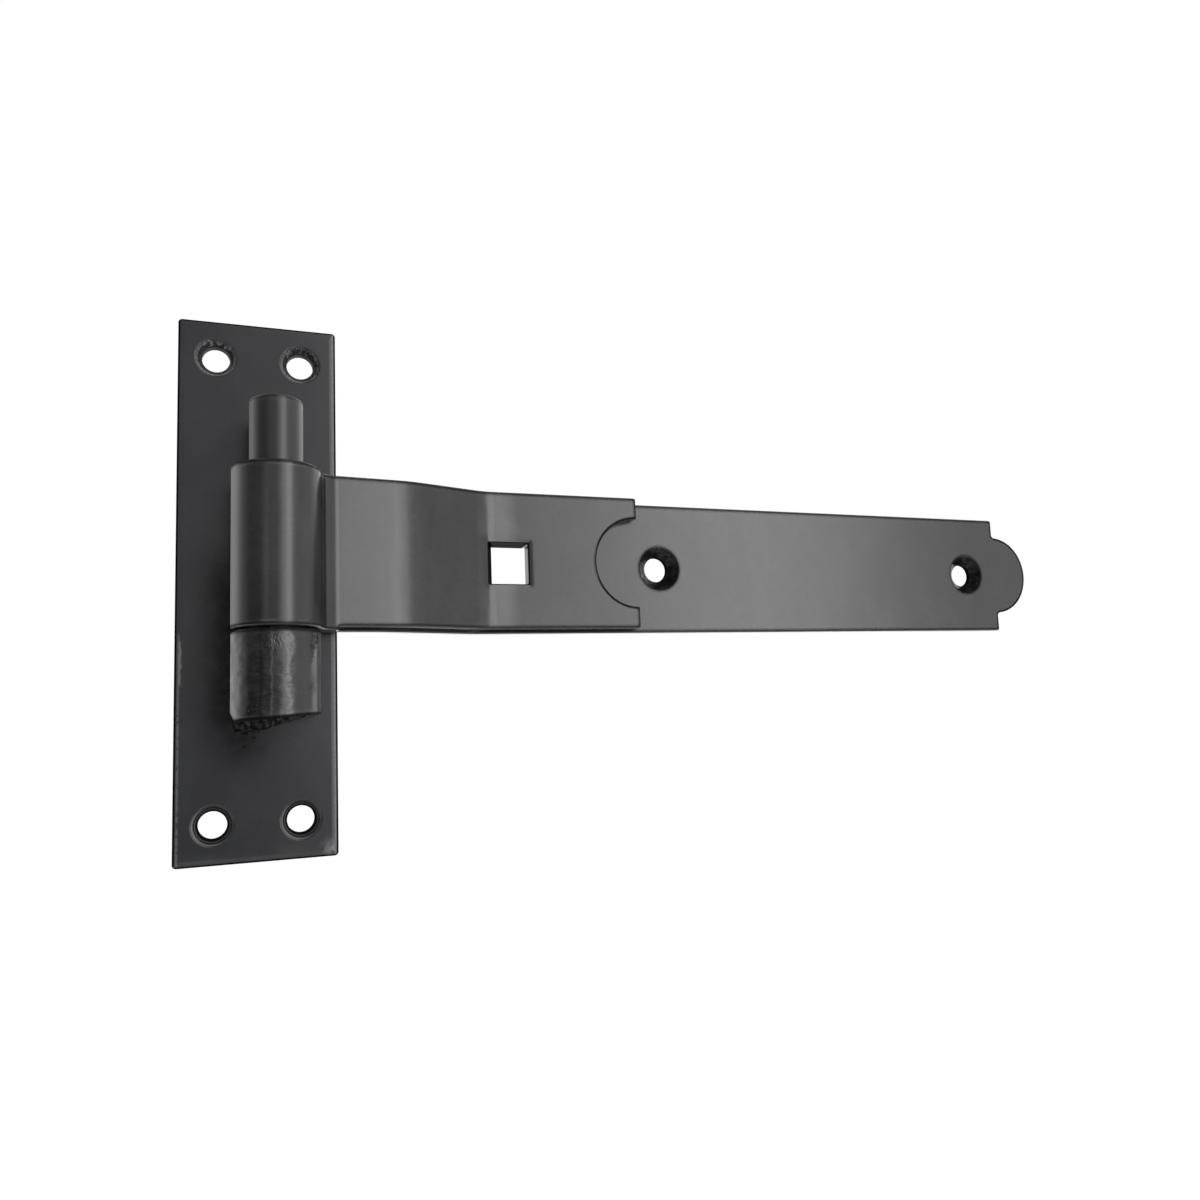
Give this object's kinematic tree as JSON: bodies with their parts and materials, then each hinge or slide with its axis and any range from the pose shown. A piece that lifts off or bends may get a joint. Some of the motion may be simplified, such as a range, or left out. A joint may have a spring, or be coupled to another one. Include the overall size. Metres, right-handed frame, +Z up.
{
  "type": "hook and band gate hinge",
  "caption": "Black cranked hook and band gate hinge: folded strap band on an upright pin, carried by a knuckle on a rectangular screw plate.",
  "frame": {"origin": "centre of the four post screw holes, on the back face of the hook plate", "axes": "+X along the band away from the pin, +Y into the post, +Z up along the pin"},
  "size_m": [0.3444, 0.0393, 0.172],
  "materials": {
    "coated_plate": "semi-gloss black powder coat over steel plate",
    "coated_bar": "semi-gloss black powder coat over round steel bar",
    "coated_weld": "black powder coat over rough weld",
    "coated_strip": "semi-gloss black powder coat over folded steel strip"
  },
  "bodies": {
    "hook": {"hook_plate": "coated_plate", "knuckle": "coated_plate", "pin": "coated_bar", "weld_bead": "coated_weld"},
    "band_leaf": {"band": "coated_strip"}
  },
  "joints": [
    {"name": "band_swing", "type": "hinge", "parent": "hook", "child": "band_leaf", "pos_m": [0.00475, -0.021, 0], "axis": [0, 0, 1], "range_deg": [-215, 2]}
  ]
}
